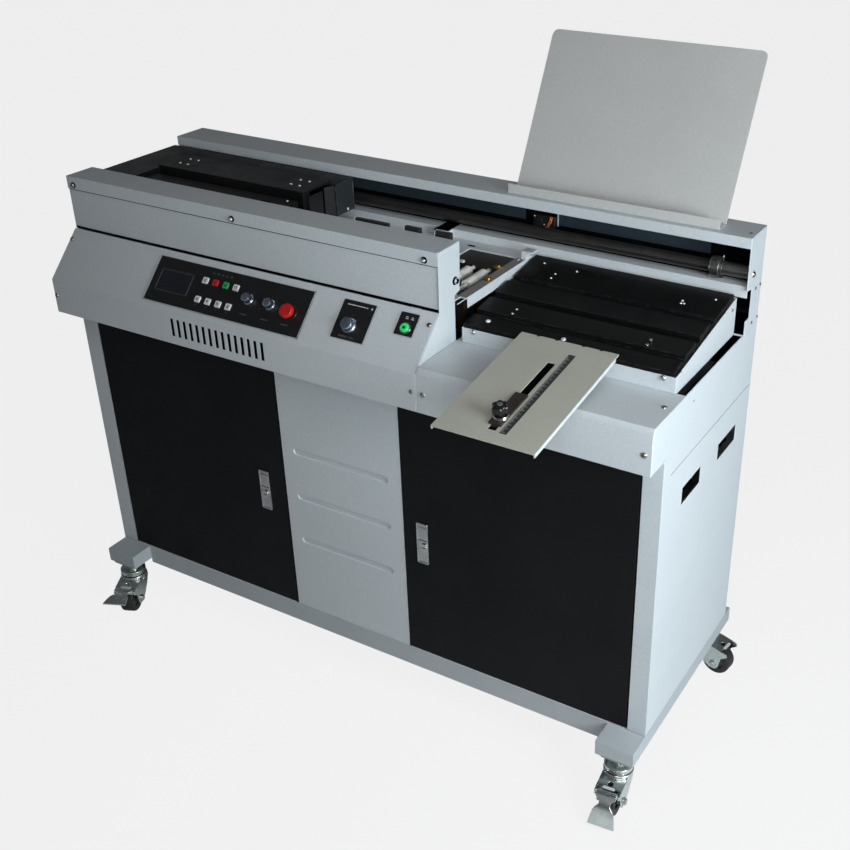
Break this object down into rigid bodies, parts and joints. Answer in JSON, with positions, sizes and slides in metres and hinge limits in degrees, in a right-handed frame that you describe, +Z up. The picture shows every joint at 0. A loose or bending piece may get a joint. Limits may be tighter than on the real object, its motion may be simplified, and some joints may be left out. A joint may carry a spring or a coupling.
{
  "type": "perfect binding machine",
  "caption": "Floor-standing perfect binding machine with a clamp carriage, cover table, paper rest, cabinet doors and casters.",
  "frame": {"origin": "floor level under the middle of the machine's bounding box", "axes": "+X to the machine's right as the operator faces it, +Y from the operator to the back, +Z up"},
  "size_m": [1.3366, 0.7136, 1.2443],
  "materials": {
    "grey_coat": "light grey powder coat",
    "black_coat": "satin black powder coat",
    "zinc": "bright zinc plating",
    "polished_steel": "ground steel",
    "dark_steel": "oiled dark steel",
    "beige_grey_coat": "warm light grey coat",
    "black_rubber": "solid black wheel",
    "black_plastic": "black overlay",
    "white_plastic": "white key cap",
    "red_plastic": "red moulded plastic",
    "green_plastic": "green moulded plastic",
    "white_roller": "white roller cover"
  },
  "bodies": {
    "cabinet": {"base_frame": "grey_coat", "console_cap_rail": "grey_coat", "console_end_plate": "grey_coat", "console_fascia": "grey_coat", "console_upper_plate": "grey_coat", "control_panel": "black_plastic", "deck_plate": "grey_coat", "drive_motor": "dark_steel", "electrical_box": "grey_coat", "front_frame": "grey_coat", "glue_tank": "dark_steel", "guide_shaft": "dark_steel", "left_side_panel": "grey_coat", "lower_shelf": "grey_coat", "milling_motor": "dark_steel", "paper_rest": "beige_grey_coat", "rear_beam": "grey_coat", "rear_panel": "grey_coat", "right_side_panel": "grey_coat", "shaft_collar": "dark_steel", "slide_rail": "grey_coat", "table_tray": "grey_coat"},
    "left_door": {"left_door": "black_coat"},
    "right_door": {"right_door": "black_coat"},
    "left_door_lock": {"left_door_lock": "zinc"},
    "right_door_lock": {"right_door_lock": "zinc"},
    "carriage": {"carriage_housing": "black_coat"},
    "clamp": {"clamp_jaw": "black_coat", "clamp_bar": "black_coat"},
    "cover_table": {"cover_table": "black_coat", "guide_plate": "beige_grey_coat"},
    "nip": {"nip_jaw": "black_coat"},
    "guide_stop": {"guide_stop": "dark_steel"},
    "guide_knob": {"guide_knob": "black_plastic"},
    "lower_button_1": {"lower_button_1": "white_plastic"},
    "lower_button_2": {"lower_button_2": "white_plastic"},
    "lower_button_3": {"lower_button_3": "white_plastic"},
    "lower_button_4": {"lower_button_4": "white_plastic"},
    "upper_button_1": {"upper_button_1": "white_plastic"},
    "upper_button_2": {"upper_button_2": "red_plastic"},
    "upper_button_3": {"upper_button_3": "green_plastic"},
    "upper_button_4": {"upper_button_4": "white_plastic"},
    "power_button": {"power_button": "green_plastic"},
    "stop_button": {"stop_button": "red_plastic"},
    "left_dial": {"left_dial": "zinc"},
    "right_dial": {"right_dial": "zinc"},
    "selector_knob": {"selector_knob": "zinc"},
    "left_glue_roller": {"left_glue_roller": "white_roller"},
    "right_glue_roller": {"right_glue_roller": "white_roller"},
    "milling_cutter": {"milling_cutter": "polished_steel"},
    "front_left_fork": {"front_left_caster_fork": "zinc"},
    "front_left_wheel": {"front_left_caster_wheel": "black_rubber"},
    "front_left_pedal": {"front_left_brake_pedal": "zinc"},
    "front_right_fork": {"front_right_caster_fork": "zinc"},
    "front_right_wheel": {"front_right_caster_wheel": "black_rubber"},
    "front_right_pedal": {"front_right_brake_pedal": "zinc"},
    "back_left_fork": {"back_left_caster_fork": "zinc"},
    "back_left_wheel": {"back_left_caster_wheel": "black_rubber"},
    "back_right_fork": {"back_right_caster_fork": "zinc"},
    "back_right_wheel": {"back_right_caster_wheel": "black_rubber"}
  },
  "joints": [
    {"name": "left_door_hinge", "type": "hinge", "parent": "cabinet", "child": "left_door", "pos_m": [-0.5963, -0.15058, 0.1463], "axis": [0, 0, -1], "range_deg": [0, 110]},
    {"name": "right_door_hinge", "type": "hinge", "parent": "cabinet", "child": "right_door", "pos_m": [0.5973, -0.15058, 0.1463], "axis": [0, 0, 1], "range_deg": [0, 110]},
    {"name": "left_lock_turn", "type": "hinge", "parent": "left_door", "child": "left_door_lock", "pos_m": [-0.197, -0.15508, 0.3983], "axis": [0, 1, 0], "range_deg": [0, 90]},
    {"name": "right_lock_turn", "type": "hinge", "parent": "right_door", "child": "right_door_lock", "pos_m": [0.179, -0.15508, 0.3983], "axis": [0, -1, 0], "range_deg": [0, 90]},
    {"name": "carriage_travel", "type": "slide", "parent": "cabinet", "child": "carriage", "axis": [1, 0, 0], "range_m": [0, 0.79]},
    {"name": "clamp_close", "type": "slide", "parent": "carriage", "child": "clamp", "axis": [0, -1, 0], "range_m": [-0.03, 0.0175]},
    {"name": "table_lift", "type": "slide", "parent": "cabinet", "child": "cover_table", "axis": [0, -0.1478, 0.989], "range_m": [0, 0.01]},
    {"name": "nip_close", "type": "slide", "parent": "cover_table", "child": "nip", "axis": [0, -0.989, -0.1478], "range_m": [0, 0.012]},
    {"name": "guide_stop_slide", "type": "slide", "parent": "cover_table", "child": "guide_stop", "axis": [0, 0.989, 0.1478], "range_m": [0, 0.09]},
    {"name": "guide_knob_turn", "type": "hinge", "parent": "guide_stop", "child": "guide_knob", "pos_m": [0.43, -0.30007, 0.81225], "axis": [0, -0.1478, 0.989], "range_deg": [-180, 180]},
    {"name": "lower_button_1_press", "type": "slide", "parent": "cabinet", "child": "lower_button_1", "axis": [0, 0.7207, -0.6933], "range_m": [0, 0.0015], "stiffness_N_per_m": 400},
    {"name": "lower_button_2_press", "type": "slide", "parent": "cabinet", "child": "lower_button_2", "axis": [0, 0.7207, -0.6933], "range_m": [0, 0.0015], "stiffness_N_per_m": 400},
    {"name": "lower_button_3_press", "type": "slide", "parent": "cabinet", "child": "lower_button_3", "axis": [0, 0.7207, -0.6933], "range_m": [0, 0.0015], "stiffness_N_per_m": 400},
    {"name": "lower_button_4_press", "type": "slide", "parent": "cabinet", "child": "lower_button_4", "axis": [0, 0.7207, -0.6933], "range_m": [0, 0.0015], "stiffness_N_per_m": 400},
    {"name": "upper_button_1_press", "type": "slide", "parent": "cabinet", "child": "upper_button_1", "axis": [0, 0.7207, -0.6933], "range_m": [0, 0.0015], "stiffness_N_per_m": 400},
    {"name": "upper_button_2_press", "type": "slide", "parent": "cabinet", "child": "upper_button_2", "axis": [0, 0.7207, -0.6933], "range_m": [0, 0.0015], "stiffness_N_per_m": 400},
    {"name": "upper_button_3_press", "type": "slide", "parent": "cabinet", "child": "upper_button_3", "axis": [0, 0.7207, -0.6933], "range_m": [0, 0.0015], "stiffness_N_per_m": 400},
    {"name": "upper_button_4_press", "type": "slide", "parent": "cabinet", "child": "upper_button_4", "axis": [0, 0.7207, -0.6933], "range_m": [0, 0.0015], "stiffness_N_per_m": 400},
    {"name": "power_button_press", "type": "slide", "parent": "cabinet", "child": "power_button", "axis": [0, 0.7207, -0.6933], "range_m": [0, 0.003], "stiffness_N_per_m": 400},
    {"name": "stop_button_press", "type": "slide", "parent": "cabinet", "child": "stop_button", "axis": [0, 0.7207, -0.6933], "range_m": [0, 0.004], "stiffness_N_per_m": 600},
    {"name": "left_dial_turn", "type": "hinge", "parent": "cabinet", "child": "left_dial", "pos_m": [-0.1665, -0.17166, 0.82786], "axis": [0, 0.7207, -0.6933], "range_deg": [-135, 135]},
    {"name": "right_dial_turn", "type": "hinge", "parent": "cabinet", "child": "right_dial", "pos_m": [-0.1175, -0.17166, 0.82786], "axis": [0, 0.7207, -0.6933], "range_deg": [-135, 135]},
    {"name": "selector_turn", "type": "hinge", "parent": "cabinet", "child": "selector_knob", "pos_m": [0.0557, -0.17256, 0.82692], "axis": [0, 0.7207, -0.6933], "range_deg": [-45, 45]},
    {"name": "left_glue_roller_spin", "type": "hinge", "parent": "cabinet", "child": "left_glue_roller", "pos_m": [0.15, -0.03178, 0.8638], "axis": [0, 1, 0], "continuous": true},
    {"name": "right_glue_roller_spin", "type": "hinge", "parent": "cabinet", "child": "right_glue_roller", "pos_m": [0.1825, -0.03178, 0.8638], "axis": [0, 1, 0], "continuous": true},
    {"name": "milling_cutter_spin", "type": "hinge", "parent": "cabinet", "child": "milling_cutter", "pos_m": [-0.015, 0.03492, 0.1463], "axis": [0, 0, 1], "continuous": true},
    {"name": "front_left_swivel", "type": "hinge", "parent": "cabinet", "child": "front_left_fork", "pos_m": [-0.6025, -0.18008, 0.112], "axis": [0, 0, 1], "continuous": true},
    {"name": "front_left_wheel_spin", "type": "hinge", "parent": "front_left_fork", "child": "front_left_wheel", "pos_m": [-0.58908, -0.21023, 0.031], "axis": [0.9135, 0.4067, 0], "continuous": true},
    {"name": "front_left_pedal_press", "type": "hinge", "parent": "front_left_fork", "child": "front_left_pedal", "pos_m": [-0.57932, -0.23215, 0.062], "axis": [0.9135, 0.4067, 0], "range_deg": [0, 70]},
    {"name": "front_right_swivel", "type": "hinge", "parent": "cabinet", "child": "front_right_fork", "pos_m": [0.6025, -0.18008, 0.112], "axis": [0, 0, 1], "continuous": true},
    {"name": "front_right_wheel_spin", "type": "hinge", "parent": "front_right_fork", "child": "front_right_wheel", "pos_m": [0.60538, -0.21296, 0.031], "axis": [0.9962, 0.0872, 0], "continuous": true},
    {"name": "front_right_pedal_press", "type": "hinge", "parent": "front_right_fork", "child": "front_right_pedal", "pos_m": [0.60747, -0.23686, 0.062], "axis": [0.9962, 0.0872, 0], "range_deg": [-70, 0]},
    {"name": "back_left_swivel", "type": "hinge", "parent": "cabinet", "child": "back_left_fork", "pos_m": [-0.6025, 0.24992, 0.112], "axis": [0, 0, 1], "continuous": true},
    {"name": "back_left_wheel_spin", "type": "hinge", "parent": "back_left_fork", "child": "back_left_wheel", "pos_m": [-0.63518, 0.24533, 0.031], "axis": [0.1392, -0.9903, 0], "continuous": true},
    {"name": "back_right_swivel", "type": "hinge", "parent": "cabinet", "child": "back_right_fork", "pos_m": [0.6025, 0.24992, 0.112], "axis": [0, 0, 1], "continuous": true},
    {"name": "back_right_wheel_spin", "type": "hinge", "parent": "back_right_fork", "child": "back_right_wheel", "pos_m": [0.63518, 0.24533, 0.031], "axis": [0.1392, 0.9903, 0], "continuous": true}
  ]
}
